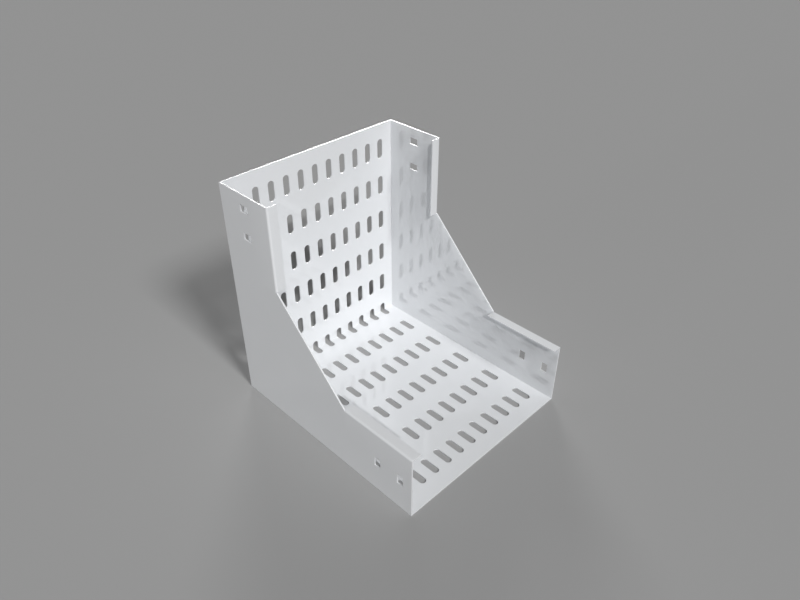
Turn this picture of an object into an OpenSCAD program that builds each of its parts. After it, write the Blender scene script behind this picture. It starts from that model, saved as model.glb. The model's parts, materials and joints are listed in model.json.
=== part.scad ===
// Cable tray vertical elbow: it turns a level run of slotted cable tray up a wall.
// One slotted sheet is folded through a right angle into a floor and a back. An L-shaped plate closes each
// side. Its inside edge slants across the corner, and its straight ends have lips turned in over the tray.
// Millimetres. X runs across the tray, -Y is the open end of the floor leg, +Y is the back, Z is up.
// The origin is the middle of the footprint, on the floor.

/* [Tray] */
// Width over the outer faces of the two side plates
tray_w = 300; // [150:5:600]
// Height of the sides, from the outside of the bottom sheet to the top of the lips
side_h = 100; // [60:1:150]
// Length of each leg, from the outside of the fold to its open end
leg_l = 340; // [280:1:500]
// Thickness of the sheet that all the pieces are cut from
sheet_t = 2; // [1:0.1:3]
// Inside radius of every fold
bend_r = 1; // [0.5:0.1:3]

/* [Side plates] */
// Length of the straight end of each leg, from its open end to the slanting edge
end_l = 120; // [80:1:170]
// Width of a lip, from the outer face of its plate to its free edge
lip_w = 15; // [10:0.5:40]
// Width of the slit that parts a lip's fold from the slanting edge, so that the lip can be turned in
lip_slit = 0.5; // [0.3:0.1:3]

/* [Coupling holes] */
// Length of a coupling hole along the run of the tray
coupling_hole_l = 10; // [6:0.5:16]
// Height of a coupling hole across the side plate
coupling_hole_h = 15; // [6:0.5:30]
// Height of the coupling holes' middles above the outside of the bottom sheet
coupling_hole_mid = 50; // [20:1:80]
// Distance from the open end to the middle of its first coupling hole
coupling_hole_first = 20; // [12:1:40]
// Distance between the middles of the two coupling holes of an end
coupling_hole_pitch = 40; // [20:1:80]

/* [Slots] */
// Length of a slot along the run of the tray
slot_l = 30; // [16:1:44]
// Width of a slot
slot_w = 10; // [5:0.5:15]
// Distance between the middles of slots across the tray
slot_pitch_across = 25; // [18:1:60]
// Distance between the middles of slots along the run, in the flat sheet
slot_pitch_run = 60; // [46:1:120]
// Least width of whole sheet between a slot and the sheet's edge
slot_margin = 10; // [4:1:20]

/* [Hidden] */
$fn = 64;
powder_white = [0.95, 0.95, 0.95];

// Folds
fold_r = bend_r + sheet_t;
fold_arc = PI / 2 * (bend_r + sheet_t / 2);

// Places along a leg, measured from the outside of the fold. The fold's middle is where it falls when the
// leg's sheet is laid flat, and the slots are set out from there.
slant_end = leg_l - end_l;
fold_mid = fold_r - fold_arc / 2;
bent_slot_end = fold_mid + slot_l / 2;
coupling_holes = [for (i = [0, 1]) leg_l - coupling_hole_first - i * coupling_hole_pitch];

// Slots of one leg: rows along the run, counted from the fold, and columns across the tray
bottom_w = tray_w - 2 * sheet_t;
row_count = floor((leg_l - slot_margin - slot_l / 2 - fold_mid) / slot_pitch_run);
slot_rows = [for (i = [1 : row_count]) fold_mid + i * slot_pitch_run];
side_columns = floor((bottom_w / 2 - slot_margin - slot_w / 2) / slot_pitch_across);
slot_columns = [for (i = [-side_columns : side_columns]) i * slot_pitch_across];

// How far a cutting shape reaches past the sheet on each side
cut_past = 1;

// Turns a shape drawn in side view into place. In side view x is the distance from the back towards the
// open end of the floor leg, y is the height, and z is the distance from the tray's middle to its left.
module in_side_view() {
    translate([0, leg_l / 2, 0]) rotate([90, 0, -90]) children();
}

// Swaps the two legs of a shape in side view, so that what is made for the floor also serves the back
module on_back() {
    mirror([1, -1, 0]) children();
}

// Quarter of a bent sheet's section, from the end of one flat to the start of the next, round its corner
module fold_section() {
    difference() {
        intersection() {
            translate([fold_r, fold_r]) circle(fold_r);
            square(fold_r);
        }
        translate([fold_r, fold_r]) circle(bend_r);
    }
}

// Section of the bottom sheet in side view: floor, fold and back
module bottom_section() {
    translate([fold_r, 0]) square([leg_l - fold_r, sheet_t]);
    translate([0, fold_r]) square([sheet_t, leg_l - fold_r]);
    fold_section();
}

// Outline of a slot with round ends, along x from one end to the other
module slot_outline(from, to) {
    end_r = slot_w / 2;
    translate([from + end_r, -end_r]) square([to - from - slot_w, slot_w]);
    translate([from + end_r, 0]) circle(end_r);
    translate([to - end_r, 0]) circle(end_r);
}

// Cutter for one slot through the floor, in side view, at a distance across the tray
module floor_slot(across, from, to, depth) {
    translate([0, depth, across]) rotate([90, 0, 0])
        linear_extrude(depth + cut_past) slot_outline(from, to);
}

// Cutters for every slot of the floor, and for the floor's half of each slot that runs through the fold
module floor_slots() {
    for (across = slot_columns) {
        for (run = slot_rows) floor_slot(across, run - slot_l / 2, run + slot_l / 2, sheet_t + cut_past);
        floor_slot(across, -slot_w, bent_slot_end, fold_r);
    }
}

// Slotted sheet, folded once, that is the floor of one leg and the back of the other
module bottom_plate() {
    color(powder_white) in_side_view() difference() {
        linear_extrude(bottom_w, center = true) bottom_section();
        floor_slots();
        on_back() floor_slots();
    }
}

// Outline of a side plate's flat part in side view. The lips' folds take over at its straight ends, and the
// slanting edge starts at the height of the lips.
module side_outline() {
    flat_h = side_h - fold_r;
    polygon([
        [0, 0],
        [leg_l, 0],
        [leg_l, flat_h],
        [slant_end, flat_h],
        [slant_end, side_h],
        [side_h, slant_end],
        [flat_h, slant_end],
        [flat_h, leg_l],
        [0, leg_l],
    ]);
}

// Section of a lip and its fold, with the plate's outer face along y and the top of the lip along x
module lip_section() {
    fold_section();
    translate([fold_r, 0]) square([lip_w - fold_r, sheet_t]);
}

// Lip along the straight end of the floor leg, in side view, from its slit to the open end
module floor_lip() {
    translate([slant_end + lip_slit, side_h, tray_w / 2]) rotate([0, 90, 0])
        linear_extrude(end_l - lip_slit) mirror([0, 1]) lip_section();
}

// Openings in a side plate's straight end on the floor leg, where the next tray's coupling plate is bolted
module floor_coupling_holes() {
    for (run = coupling_holes)
        translate([run - coupling_hole_l / 2, coupling_hole_mid - coupling_hole_h / 2, -cut_past])
            cube([coupling_hole_l, coupling_hole_h, sheet_t + 2 * cut_past]);
}

// Side plate on the left, with its lips and coupling holes
module side_plate() {
    in_side_view() {
        translate([0, 0, tray_w / 2 - sheet_t]) difference() {
            linear_extrude(sheet_t) side_outline();
            floor_coupling_holes();
            on_back() floor_coupling_holes();
        }
        floor_lip();
        on_back() floor_lip();
    }
}

module left_side_plate() {
    color(powder_white) side_plate();
}

module right_side_plate() {
    color(powder_white) mirror([1, 0, 0]) side_plate();
}

bottom_plate();
left_side_plate();
right_side_plate();
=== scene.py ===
# %% [markdown]
# # A cable tray elbow in white powder coat
# A vertical elbow turns a level run of cable tray up a wall. It is three pieces of 2 mm steel sheet:
# one slotted sheet folded once into a floor and a back, and a plate on each side. The CAD model already
# has every piece at its real size. What it lacks is how painted sheet looks close up: edges that the
# paint has eased, and a coat with a skin of its own. So each piece is modelled again here, in the order
# of a sheet-metal shop: cut, fold and paint.

import json
import math

import bmesh
import bpy
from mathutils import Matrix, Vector


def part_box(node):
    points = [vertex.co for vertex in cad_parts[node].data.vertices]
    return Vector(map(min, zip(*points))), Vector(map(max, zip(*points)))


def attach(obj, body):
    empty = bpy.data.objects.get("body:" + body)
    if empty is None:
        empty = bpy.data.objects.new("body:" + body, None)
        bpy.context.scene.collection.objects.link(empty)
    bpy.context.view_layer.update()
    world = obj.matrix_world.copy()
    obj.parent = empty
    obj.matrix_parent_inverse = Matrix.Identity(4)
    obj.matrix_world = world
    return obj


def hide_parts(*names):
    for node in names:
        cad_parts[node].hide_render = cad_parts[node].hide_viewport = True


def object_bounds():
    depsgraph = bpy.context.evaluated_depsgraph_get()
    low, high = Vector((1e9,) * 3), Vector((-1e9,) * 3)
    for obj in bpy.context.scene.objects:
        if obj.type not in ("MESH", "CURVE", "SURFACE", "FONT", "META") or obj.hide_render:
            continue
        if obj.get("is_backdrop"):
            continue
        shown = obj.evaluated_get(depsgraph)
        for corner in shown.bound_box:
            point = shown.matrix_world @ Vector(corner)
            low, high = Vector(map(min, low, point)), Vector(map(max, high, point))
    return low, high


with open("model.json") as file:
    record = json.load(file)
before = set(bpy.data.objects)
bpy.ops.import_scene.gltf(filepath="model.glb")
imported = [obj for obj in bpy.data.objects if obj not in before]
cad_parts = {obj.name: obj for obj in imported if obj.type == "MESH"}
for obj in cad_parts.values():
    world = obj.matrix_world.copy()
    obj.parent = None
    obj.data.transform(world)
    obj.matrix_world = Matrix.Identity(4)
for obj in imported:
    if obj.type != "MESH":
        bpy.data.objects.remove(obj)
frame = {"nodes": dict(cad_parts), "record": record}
cad_low, cad_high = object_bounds()
print("pieces in the model:", sorted(frame["nodes"]))

# %% [markdown]
# ## Sizes
# A size that is typed in twice will one day disagree with itself. So the outside sizes and the
# thickness of the sheet come from the boxes of the CAD nodes, and the slots and holes from the record.
# Only what neither of them holds is written down as a number, where it is first needed. One unit of the
# model is a metre.

# %% Read the sizes of the elbow
mm = 0.001
micrometre_places = 6


def in_mm(length):
    """A length as it is printed."""
    return f"{length / mm:.1f} mm"


bottom_low, bottom_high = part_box("bottom_plate")
side_low, side_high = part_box("left_side_plate")
back = bottom_high.y
open_end = bottom_low.y
leg = back - open_end
outer_face = side_low.x
sheet = round(bottom_low.x - outer_face, micrometre_places)
lip_reach = side_high.x - outer_face
bend_inside = 1 * mm
bend_outside = bend_inside + sheet
print("legs", in_mm(leg), "sheet", in_mm(sheet), "lips", in_mm(lip_reach))

# %% [markdown]
# The record describes two slots in the middle of the floor, in the rows nearest to the back and to the
# open end. The other slots lie with them on a grid of 25 by 60 mm.

# %% Read the slots
mounts = {mount["name"]: mount for mount in frame["record"]["mounts"]}
slots = mounts["floor_slots_middle"]
slot_width = 2 * slots["dims"]["hole_r_mm"] * mm
slot_length = slots["dims"]["slot_length_mm"] * mm
slot_span = slots["dims"]["spacing_y_mm"] * mm
pitch_across = 25 * mm
pitch_run = 60 * mm
columns = 11
rows_in_a_leg = 1 + round(slot_span / pitch_run)
nearest_row = slots["pos_m"][1] + slot_span / 2
print("slots", in_mm(slot_width), "by", in_mm(slot_length))
print(columns, "slots across,", rows_in_a_leg, "rows in a leg")

# %% [markdown]
# ## Hand tools
# A modeller works in edit mode: pick some edges, extrude them, pick again. These few helpers do the
# picking by place, because a script has no mouse. `near` is how close a point has to be to count as
# lying on a line.

# %% Start a sheet, and pick parts of it
near = 0.01 * mm


def add_sheet(name, size, middle, turn=(0, 0, 0)):
    """A flat rectangle at its size and place, in edit mode, with its place in its mesh."""
    bpy.ops.object.select_all(action="DESELECT")
    bpy.ops.mesh.primitive_plane_add(size=1, location=middle, rotation=turn)
    piece = bpy.context.object
    piece.name = piece.data.name = name
    piece.scale = (*size, 1)
    bpy.ops.object.transform_apply(location=True, rotation=True, scale=True)
    bpy.ops.object.mode_set(mode="EDIT")
    return piece


def pick(kind, where):
    """Selects, in edit mode, each vertex, rim edge or face whose corners all lie where the test says."""
    bpy.ops.mesh.select_mode(type=kind)
    bpy.ops.mesh.select_all(action="DESELECT")
    mesh = bpy.context.object.data
    form = bmesh.from_edit_mesh(mesh)
    parts = {"VERT": form.verts, "EDGE": form.edges, "FACE": form.faces}[kind]
    for part in parts:
        corners = [part] if kind == "VERT" else part.verts
        wanted = kind != "EDGE" or part.is_boundary
        if wanted and all(where(corner.co) for corner in corners):
            part.select_set(True)
    form.select_flush_mode()
    bmesh.update_edit_mesh(mesh)


def count(kind):
    """How many vertices or faces the piece in edit mode has."""
    form = bmesh.from_edit_mesh(bpy.context.object.data)
    return len(form.verts if kind == "VERT" else form.faces)


# %% [markdown]
# What is picked is then pulled out into new faces or cut along a plane. Modifiers are applied as soon
# as they are added, so that the next tool works on real faces.

# %% Pull, cut and apply
def pull(x=0, y=0, z=0):
    """Extrudes what is picked and moves the new edge."""
    bpy.ops.mesh.extrude_region_move(TRANSFORM_OT_translate={"value": (x, y, z)})


def cut(through, facing, keep_all=True):
    """Cuts what is picked along a plane. Unless all is kept, what the plane faces is thrown away."""
    bpy.ops.mesh.bisect(plane_co=through, plane_no=facing, clear_outer=not keep_all)


def apply(piece, kind, **settings):
    """Adds a modifier with these settings and applies it, as the Apply button does."""
    modifier = piece.modifiers.new(kind.title(), kind)
    for setting, value in settings.items():
        setattr(modifier, setting, value)
    bpy.ops.object.modifier_apply(modifier=modifier.name)


# %% [markdown]
# ## The slotted sheet
# On the real elbow the slots are punched while the sheet is flat. A boolean could cut them here too,
# but it leaves one huge face that is full of holes, and such a face is hard to bevel. So one slot is
# modelled together with the tile of sheet round it, in clean four-sided faces, and the tile is
# repeated. The slot begins as a rectangle whose corners are rounded until its ends are half circles.

# %% Model one slot
round_steps = 8
first_column = -(columns - 1) / 2 * pitch_across
bent_row = nearest_row + pitch_run
slot_middle = Vector((first_column, bent_row, 0))

bottom = add_sheet("slotted_bottom", (slot_width, slot_length), slot_middle)
bpy.ops.mesh.bevel(affect="VERTICES", offset=slot_width / 2, segments=round_steps, clamp_overlap=False)
bpy.ops.mesh.select_all(action="SELECT")
bpy.ops.mesh.remove_doubles(threshold=near)
bpy.ops.mesh.delete(type="ONLY_FACE")
print("points round one slot:", count("VERT"))

# %% [markdown]
# The rim of the slot is extruded and scaled up to the size of the tile. Its round ends are then scaled
# flat along the tile's short sides, which makes the outer rim a rectangle that meets its neighbours
# point for point.

# %% Grow the tile from the slot's rim
bpy.ops.mesh.select_all(action="SELECT")
bpy.ops.mesh.extrude_edges_move()
grow = (pitch_across / slot_width, pitch_run / slot_length, 1)
bpy.ops.transform.resize(value=grow, center_override=slot_middle)
for end in (-1, 1):
    tile_side = slot_middle.y + end * pitch_run / 2
    pick("VERT", lambda point: (point.y - slot_middle.y) * end > slot_length / 2 + near)
    bpy.ops.transform.resize(value=(1, 0, 1), center_override=(slot_middle.x, tile_side, 0))
print("faces in one tile:", count("FACE"))
bpy.ops.object.mode_set(mode="OBJECT")

# %% [markdown]
# Two Array modifiers lay the tiles out over the floor. The row nearest to the back sits across the
# fold: the plane where the fold starts cuts it, and the half that is on the floor stays.

# %% Repeat the tile over the floor
rows = rows_in_a_leg + 1
repeat = {
    "use_relative_offset": False,
    "use_constant_offset": True,
    "use_merge_vertices": True,
    "merge_threshold": near,
}
apply(bottom, "ARRAY", count=columns, constant_offset_displace=(pitch_across, 0, 0), **repeat)
apply(bottom, "ARRAY", count=rows, constant_offset_displace=(0, -pitch_run, 0), **repeat)

fold_start = back - bend_outside
bpy.ops.object.mode_set(mode="EDIT")
bpy.ops.mesh.select_all(action="SELECT")
cut((0, fold_start, 0), (0, 1, 0), keep_all=False)
print("tiles on the floor:", columns * rows, "with", count("FACE"), "faces")

# %% [markdown]
# The plain margins come from pulling the outer rims of the tiles to the edges of the sheet.

# %% Pull out the plain margins
tiles_half = columns / 2 * pitch_across
tiles_end = bent_row - (rows - 0.5) * pitch_run
side_margin = bottom_high.x - tiles_half
front_margin = tiles_end - open_end
for way in (-1, 1):
    pick("EDGE", lambda point: abs(point.x - way * tiles_half) < near)
    pull(x=way * side_margin)
pick("EDGE", lambda point: abs(point.y - tiles_end) < near)
pull(y=-front_margin)
print("margins", in_mm(side_margin), "at the sides,", in_mm(front_margin), "in front")

# %% [markdown]
# ## The fold
# A press brake bends the sheet round a 1 mm nose, so the outside has a radius of 3 mm. Spin sweeps the
# strips between the slots round the fold's axis. With no window Spin turns the other way, so its angle
# is negative. The floor and the back are the same, seen across the slanting plane through the fold, so
# half the fold is enough: a Mirror modifier with a tilted empty makes the rest. That is also how the
# row of slots comes to run through the fold unbroken.

# %% Bend the sheet
right_angle = math.radians(90)
fold_steps = 8
fold_axis = (0, fold_start, bend_outside)
pick("EDGE", lambda point: abs(point.y - fold_start) < near)
bpy.ops.mesh.spin(steps=fold_steps // 2, angle=-right_angle / 2, center=fold_axis, axis=(1, 0, 0))
print("faces in the floor and half the fold:", count("FACE"))
bpy.ops.object.mode_set(mode="OBJECT")

# %% Mirror the floor into a back
mitre = bpy.data.objects.new("mitre", None)
bpy.context.scene.collection.objects.link(mitre)
mitre.location = (0, back, 0)
mitre.rotation_euler.x = right_angle / 2
bpy.context.view_layer.update()
across_mitre = {"use_axis": (False, True, False), "mirror_object": mitre, "merge_threshold": near}
apply(bottom, "MIRROR", **across_mitre)
print("faces in the folded sheet:", len(bottom.data.polygons))

# %% [markdown]
# ## The side plates
# A side plate is an L with a slanting inside edge. Half of it is drawn: the straight end as a
# rectangle, cut along the lines of its two coupling holes, and the corner pulled out of it and trimmed.
# The openings in the record say where the holes' middles are. One more cut marks a slit, half a
# millimetre wide, that parts the lip from the slanting edge. Without it the lip couldn't be folded.

# %% Draw the straight end
side_height = 100 * mm
straight_end = 120 * mm
slant_start = open_end + straight_end
flat_height = side_height - bend_outside
end_middle = (outer_face, (open_end + slant_start) / 2, flat_height / 2)
left = add_sheet("left_side", (flat_height, straight_end), end_middle, turn=(0, -right_angle, 0))
print("straight end", in_mm(straight_end), "long and", in_mm(flat_height), "high up to its fold")

# %% Find the coupling holes
hole_along = 10 * mm
hole_across = 15 * mm
bolt_ways = {opening["name"]: opening["box_m"] for opening in frame["record"]["physics"]["openings"]}
holes = []
for place in ("first", "second"):
    low, high = bolt_ways[f"floor_end_{place}_bolts"]
    holes.append((Vector(low) + Vector(high)) / 2)
    print(place, "hole", in_mm(holes[-1].y - open_end), "from the open end")

# %% Cut the holes and mark the slit
lip_slit = 0.5 * mm
lip_start = slant_start - lip_slit
upright_lines = [hole.y + side * hole_along / 2 for hole in holes for side in (-1, 1)]
level_lines = [holes[0].z + side * hole_across / 2 for side in (-1, 1)]
for y in (*upright_lines, lip_start):
    bpy.ops.mesh.select_all(action="SELECT")
    cut((0, y, 0), (0, 1, 0))
for z in level_lines:
    bpy.ops.mesh.select_all(action="SELECT")
    cut((0, 0, z), (0, 0, 1))

reach_along = hole_along / 2 + near
reach_across = hole_across / 2 + near
for hole in holes:
    pick("FACE", lambda point: abs(point.y - hole.y) < reach_along and abs(point.z - hole.z) < reach_across)
    bpy.ops.mesh.delete(type="FACE")
print("faces in the straight end:", count("FACE"))

# %% [markdown]
# The corner is pulled out of the straight end in two steps, back to the fold and up to the middle of
# the slant. Two cuts then trim it, along the mitre and along the slant.

# %% Pull out the corner and trim it
slant_middle = (leg - straight_end + side_height) / 2
pick("EDGE", lambda point: abs(point.y - slant_start) < near)
pull(y=back - slant_start)
pick("EDGE", lambda point: abs(point.z - flat_height) < near and point.y > slant_start - near)
pull(z=slant_middle - flat_height)
mitre_plane = ((0, back, 0), (0, 1, 1))
slant_plane = ((0, slant_start, side_height), (0, -1, 1))
for through, facing in (mitre_plane, slant_plane):
    pick("FACE", lambda point: point.y > slant_start - near)
    cut(through, facing, keep_all=False)
print("faces with the corner:", count("FACE"))

# %% [markdown]
# The lip is the top of the straight end turned in over the tray. Spin rolls the edge round its bend,
# and one more pull gives the lip its width. The mirror then makes the plate's other leg, and a mirrored
# copy is the right plate.

# %% Turn the lip in
lip_axis = (outer_face + bend_outside, 0, flat_height)
pick("EDGE", lambda point: abs(point.z - flat_height) < near and point.y < lip_start + near)
bpy.ops.mesh.spin(steps=fold_steps, angle=-right_angle, center=lip_axis, axis=(0, 1, 0))
pull(x=lip_reach - bend_outside)
bpy.ops.object.mode_set(mode="OBJECT")
apply(left, "MIRROR", **across_mitre)
bpy.data.objects.remove(mitre)
print("faces in the left plate:", len(left.data.polygons))

# %% Mirror a copy for the right plate
bpy.ops.object.duplicate()
right = bpy.context.object
right.name = right.data.name = "right_side"
bpy.ops.object.mode_set(mode="EDIT")
bpy.ops.mesh.select_all(action="SELECT")
bpy.ops.transform.resize(value=(-1, 1, 1), center_override=(0, 0, 0))
bpy.ops.object.mode_set(mode="OBJECT")
print("faces in the right plate:", len(right.data.polygons))

# %% [markdown]
# ## A short way to write shader nodes
# A finish is a tree of nodes. Drawn by mouse it is boxes and noodles, and written node by node it is
# many dull lines. Here a `Wire` stands for one output of a node and understands plus, minus and times,
# so a pattern can be turned over by writing `1 - drift`.

# %% Wires that do sums
class Wire:
    """One output of a node. Sums, differences and products of wires and numbers add their Math nodes."""

    def __init__(self, tree, socket):
        self.tree = tree
        self.socket = socket

    def beside(self, output):
        """Another output of the same node."""
        return Wire(self.tree, self.socket.node.outputs[output])

    def maths(self, operation, first, second):
        """The result of a new Math node."""
        node = self.tree.nodes.new("ShaderNodeMath")
        node.operation = operation
        for place, value in zip(node.inputs, (first, second)):
            plug(self.tree, place, value)
        return Wire(self.tree, node.outputs[0])

    def __add__(self, other):
        return self.maths("ADD", self, other)

    def __sub__(self, other):
        return self.maths("SUBTRACT", self, other)

    def __rsub__(self, other):
        return self.maths("SUBTRACT", other, self)

    def __mul__(self, other):
        return self.maths("MULTIPLY", self, other)

    __radd__ = __add__
    __rmul__ = __mul__


def plug(tree, place, value):
    """Links a wire to a socket, or sets the socket to a plain value."""
    if isinstance(value, Wire):
        tree.links.new(value.socket, place)
    else:
        place.default_value = value


# %% [markdown]
# Everything that isn't arithmetic comes from one method, `add`: the node's type, then its settings,
# then what goes into its sockets.

# %% A finish to add nodes to
class Finish:
    """The empty node tree of a new material or world, to which nodes are added one call at a time."""

    def __init__(self, owner):
        self.owner = owner
        owner.use_nodes = True
        self.tree = owner.node_tree
        self.tree.nodes.clear()

    def add(self, kind, settings=None, sockets=None, output=0):
        """A new node with these settings and sockets, as a wire from one of its outputs."""
        node = self.tree.nodes.new("ShaderNode" + kind)
        for setting, value in (settings or {}).items():
            setattr(node, setting, value)
        for place, value in (sockets or {}).items():
            plug(self.tree, node.inputs[place], value)
        return Wire(self.tree, node.outputs[output]) if node.outputs else None


# %% [markdown]
# ## The powder coat
# The elbow is white all over. Its paint is sprayed on as a dry powder, which melts in an oven and flows
# out. It never flows quite flat: a faint waviness stays, a few millimetres from crest to crest and a
# few thousandths of a millimetre high, which painters call orange peel. It can't be seen in the white
# itself, only in what the gloss mirrors, so it is a Bump and not a colour. A finer grain lies over it,
# and slow drifts in thickness change the tone and the gloss by a percent or two. Noise on Object
# coordinates gives all of these a real scale, because one unit is one metre. A clear coat layer in the
# shader stands for the thin skin of resin on top.

# %% Choose the pattern of the coat
# Scales of the noise, in cells per metre
peel_scale = 210.0
grain_scale = 1700.0
drift_scale = 13.0
# Shares of the patterns in the paint's height, tone and gloss
grain_on_peel = 0.05
drift_in_tone = 0.03
grain_in_tone = 0.015
drift_in_gloss = 0.04
grain_in_gloss = 0.02
# How strongly the paint and the skin on top of it bend light
paint_ior = 1.5
skin_ior = 1.8
for pattern, scale in (("peel", peel_scale), ("grain", grain_scale), ("drift", drift_scale)):
    print(pattern, "repeats about every", in_mm(1 / scale))


# %% Mix the coat
def powder_coat(name, colour, dullness, skin_dullness, wave_height):
    """Paint over steel, from the roughness of the paint and of its skin and the depth of its waviness."""
    coat = Finish(bpy.data.materials.new(name))
    place = coat.add("TexCoord", output="Object")
    peel = coat.add(
        "TexNoise",
        sockets={"Vector": place, "Scale": peel_scale, "Detail": 2.0, "Roughness": 0.4},
    )
    grain = coat.add("TexNoise", sockets={"Vector": place, "Scale": grain_scale, "Detail": 1.0})
    drift = coat.add("TexNoise", sockets={"Vector": place, "Scale": drift_scale, "Detail": 3.0})

    waves = peel + grain_on_peel * grain
    skin = coat.add("Bump", sockets={"Height": waves, "Strength": 1.0, "Distance": wave_height})
    tone = 1 - drift_in_tone * (1 - drift) + grain_in_tone * grain
    tint = coat.add(
        "Mix",
        {"data_type": "RGBA", "blend_type": "MULTIPLY"},
        {"Factor": 1.0, "A": (*colour, 1.0), "B": tone},
        output="Result",
    )
    paint = coat.add(
        "BsdfPrincipled",
        sockets={
            "Base Color": tint,
            "Roughness": dullness + drift_in_gloss * drift + grain_in_gloss * grain,
            "IOR": paint_ior,
            "Normal": skin,
            "Coat Weight": 1.0,
            "Coat Roughness": skin_dullness,
            "Coat IOR": skin_ior,
        },
    )
    coat.add("OutputMaterial", sockets={"Surface": paint})
    print(name, "has", len(coat.tree.nodes), "nodes")
    return coat.owner


# %% [markdown]
# On the walls of the slots and along the sheared edges the steel under the paint is torn, not rolled,
# and the powder draws back from the corners. So the coat is thinner and rougher there: a second paint
# with more depth and less gloss.

# %% Give every piece its two paints
white = (0.785, 0.80, 0.82)
face_coat = powder_coat(
    "powder_coat",
    white,
    dullness=0.04,
    skin_dullness=0.03,
    wave_height=0.009 * mm,
)
edge_coat = powder_coat(
    "powder_coat_on_cut_edges",
    white,
    dullness=0.26,
    skin_dullness=0.25,
    wave_height=0.04 * mm,
)
paints = (face_coat, edge_coat)
edge_paint = paints.index(edge_coat)
for piece in (bottom, left, right):
    piece.data.materials.clear()
    for paint in paints:
        piece.data.materials.append(paint)

# %% [markdown]
# ## Thickness and eased edges
# So far each piece is only its outer face. Solidify gives it the sheet's thickness on the side that its
# faces look away from, so they are first turned to look outwards. It also hands the new rim the paint
# for edges.

# %% Turn the sheets to face outwards
def choose(piece):
    """Makes this piece the one that the next operators work on."""
    bpy.ops.object.select_all(action="DESELECT")
    piece.select_set(True)
    bpy.context.view_layer.objects.active = piece


def turn_outwards(piece, outward):
    """Merges doubled points and turns all the faces so that the widest one looks outwards."""
    choose(piece)
    bpy.ops.object.mode_set(mode="EDIT")
    bpy.ops.mesh.select_all(action="SELECT")
    bpy.ops.mesh.remove_doubles(threshold=near)
    bpy.ops.mesh.normals_make_consistent(inside=False)
    form = bmesh.from_edit_mesh(piece.data)
    widest = max(form.faces, key=lambda face: face.normal.dot(outward) ** 2 * face.calc_area())
    if widest.normal.dot(outward) < 0:
        bpy.ops.mesh.flip_normals()
    bpy.ops.object.mode_set(mode="OBJECT")
    bpy.ops.object.shade_smooth()
    print(piece.name, "faces outwards")


turn_outwards(bottom, Vector((0, 0, -1)))
turn_outwards(left, Vector((-1, 0, 0)))
turn_outwards(right, Vector((1, 0, 0)))

# %% [markdown]
# Punched and sheared edges are never knife-sharp once they are painted. A Bevel modifier eases them by
# a fifth of a millimetre, which is what catches the light along every edge, and hardened normals keep
# the flats flat. The eased strips take the rougher paint as well, so that they shine as even lines and
# not as sparks.

# %% Thicken the sheets and ease their edges
eased = 0.2 * mm
ease_steps = 2
sharp_angle = math.radians(40)
for piece in (bottom, left, right):
    choose(piece)
    apply(
        piece,
        "SOLIDIFY",
        thickness=sheet,
        offset=-1,
        use_even_offset=True,
        use_quality_normals=True,
        material_offset_rim=edge_paint,
    )
    apply(
        piece,
        "BEVEL",
        width=eased,
        segments=ease_steps,
        limit_method="ANGLE",
        angle_limit=sharp_angle,
        use_clamp_overlap=False,
        harden_normals=True,
        material=edge_paint,
    )
    print(piece.name, "has", len(piece.data.polygons), "faces")

# %% [markdown]
# At the foot of each slit the bevel follows the first facet of the lip's fold a little too far and
# comes out of the plate by a fiftieth of a millimetre. A real plate lies flat on a bench, so these few
# points are pressed back into its outer face.

# %% Press the slits flush
for piece, face in ((left, outer_face), (right, -outer_face)):
    choose(piece)
    bpy.ops.object.mode_set(mode="EDIT")
    pick("VERT", lambda point: point.x / face > 1)
    bpy.ops.transform.resize(value=(0, 1, 1), center_override=(face, 0, 0))
    bpy.ops.object.mode_set(mode="OBJECT")
    widest = max(abs(vertex.co.x) for vertex in piece.data.vertices)
    print(piece.name, "reaches", in_mm(widest), "from the middle")

# %% [markdown]
# A mesh with open edges isn't a solid. So the open edges of each finished piece are counted, and its
# volume is measured.

# %% Measure the finished pieces
cm3 = 0.01**3
for piece in (bottom, left, right):
    form = bmesh.new()
    form.from_mesh(piece.data)
    open_edges = sum(not edge.is_manifold for edge in form.edges)
    print(f"{piece.name}: {form.calc_volume() / cm3:.1f} cm3, {open_edges} open edges")
    form.free()

# %% [markdown]
# ## Standing in for the CAD pieces
# Each finished sheet takes the place of its CAD node in the picture. The node itself stays in the model
# for collisions. Nothing on an elbow moves, so all three ride on the one body there is.

# %% Stand the new pieces in
for piece, node, coat in (
    (bottom, "bottom_plate", "bottom_coat"),
    (left, "left_side_plate", "side_coat"),
    (right, "right_side_plate", "side_coat"),
):
    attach(piece, "root")
    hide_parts(node)
    print(piece.name, "stands for", node)

# %% [markdown]
# ## The floor
# A white thing needs a floor that is darker than itself, or its edges and slots disappear. A plain pale
# grey does it, with no gloss, so that it has one tone from wherever it is seen. The plane lies a hair
# below the elbow, so that the two never share a surface.

# %% Lay the floor
floor_grey = 0.35
floor_width = 60
floor_gap = 0.3 * mm
bpy.ops.object.select_all(action="DESELECT")
bpy.ops.mesh.primitive_plane_add(size=floor_width, location=(0, 0, -floor_gap))
floor = bpy.context.object
floor.name = floor.data.name = "studio_floor"
floor_paint = Finish(bpy.data.materials.new("studio_floor_paint"))
shader = floor_paint.add(
    "BsdfPrincipled",
    sockets={
        "Base Color": (floor_grey, floor_grey, floor_grey, 1),
        "Roughness": 1.0,
        "Specular IOR Level": 0.0,
    },
)
floor_paint.add("OutputMaterial", sockets={"Surface": shader})
floor.data.materials.append(floor_paint.owner)
floor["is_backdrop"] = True
print("floor laid,", in_mm(floor_gap), "below the elbow")

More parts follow.
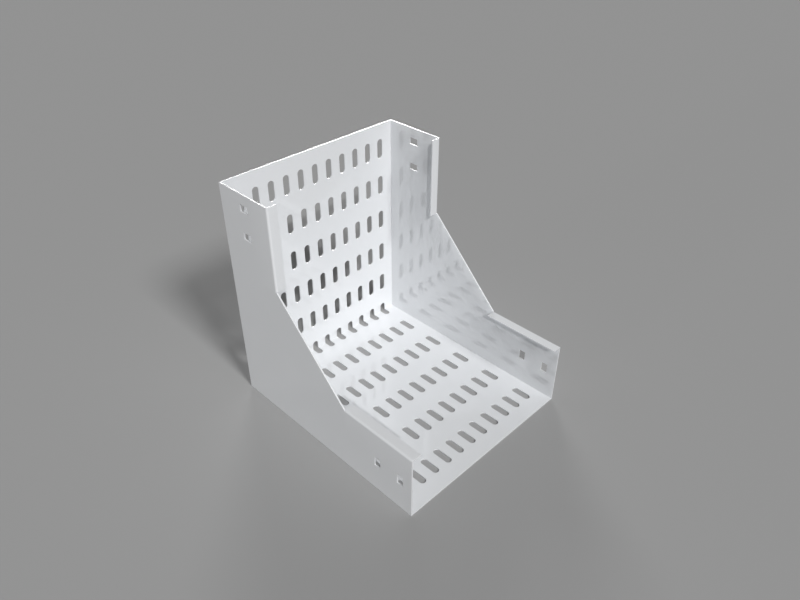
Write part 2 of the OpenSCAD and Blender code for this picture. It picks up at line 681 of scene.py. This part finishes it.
# %% [markdown]
# ## The light
# The elbow is a corner of white faces, and three equal white faces look like paper. A small key lamp
# from the left draws the narrow shadows beside the lips. A wider front lamp fills the floor and the
# back. It stands a little to the left as well, so that it reaches into the coupling holes and leaves no
# shade along the right plate. A weak lamp at the far left and one behind the elbow keep the outer faces
# from going dark. The weak one hangs so low that the left plate keeps it out of the tray, and it is
# hidden from the gloss, where it would show as a white disc. The one behind also draws the bright lines
# along the top edges. Far lamps of the Sun type light the floor evenly right to the horizon, and a
# level of 1 would show a facing surface exactly in the colour it is painted.

# %% Hang the lamps
def add_lamp(name, towards, level, width, mirrored=True):
    """A far lamp, some degrees wide, that lights a facing surface to a level. Returns the floor's level."""
    direction = Vector(towards).normalized()
    bpy.ops.object.light_add(type="SUN", location=direction)
    lamp = bpy.context.object
    lamp.name = lamp.data.name = name
    lamp.data.energy = math.pi * level
    lamp.data.angle = math.radians(width)
    lamp.rotation_euler = direction.to_track_quat("Z", "Y").to_euler()
    lamp.visible_glossy = mirrored
    print(f"{name}: level {level}, {width} degrees wide")
    return level * direction.z


floor_light = (
    add_lamp("key_lamp", (-0.438, -0.657, 0.613), level=0.40, width=1.2)
    + add_lamp("front_lamp", (-0.10, -0.72, 0.68), level=0.64, width=12)
    + add_lamp("left_lamp", (-1.00, 0.00, 0.03), level=0.18, width=5, mirrored=False)
    + add_lamp("rear_lamp", (0.62, 0.76, 0.20), level=0.60, width=22)
)

# %% [markdown]
# The world adds a little light from everywhere. Where the camera or the gloss looks past the floor it
# shows the tone of the lit floor instead, worked out from the lamps, so that no horizon cuts through
# the views from low down.

# %% Light the world
ambient = 0.02
horizon = floor_grey * (floor_light + ambient)
neutral = (1, 1, 1, 1)
studio = Finish(bpy.data.worlds.new("studio"))
path = studio.add("LightPath", output="Is Camera Ray")
seen = path + path.beside("Is Glossy Ray") + path.beside("Is Transmission Ray")
soft_light = studio.add("Background", sockets={"Color": neutral, "Strength": ambient})
backdrop = studio.add("Background", sockets={"Color": neutral, "Strength": horizon})
sky = studio.add("MixShader", sockets={0: seen, 1: soft_light, 2: backdrop})
studio.add("OutputWorld", sockets={"Surface": sky})
bpy.context.scene.world = studio.owner
print(f"world light {ambient}, seen as {horizon:.3f}")

# %% [markdown]
# ## The camera
# The camera stands in front of the elbow's left corner and looks down at the middle of its box. Its
# place and its focal length were worked out from the corners and slots of the picture, which is 800
# pixels wide. Blender wants the focal length in millimetres, for a film 36 mm wide.

# %% Set up the camera
picture_width = 800
focal_pixels = 704.84
film_width = 36
nearest_seen = 10 * mm
eye = Vector((-0.5564, -0.5571, 0.7272))
aim = (cad_low + cad_high) / 2
bpy.ops.object.camera_add(location=eye, rotation=(aim - eye).to_track_quat("-Z", "Y").to_euler())
camera = bpy.context.object
camera.data.sensor_width = film_width
camera.data.lens = film_width * focal_pixels / picture_width
camera.data.clip_start = nearest_seen
bpy.context.scene.camera = camera
bpy.context.scene.view_settings.view_transform = "Standard"
print(f"camera {(aim - eye).length:.2f} m away, lens {camera.data.lens:.1f} mm")

# %% [markdown]
# ## Last look at the sizes
# The painted elbow has to fill the same box as the CAD model. Both boxes are printed, one after the other.

# %% Print the boxes and finish
visual_low, visual_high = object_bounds()
boxes = {"cad": [list(cad_low), list(cad_high)], "visual": [list(visual_low), list(visual_high)]}
for name, (low, high) in boxes.items():
    print(name, "box:", [in_mm(b - a) for a, b in zip(low, high)])
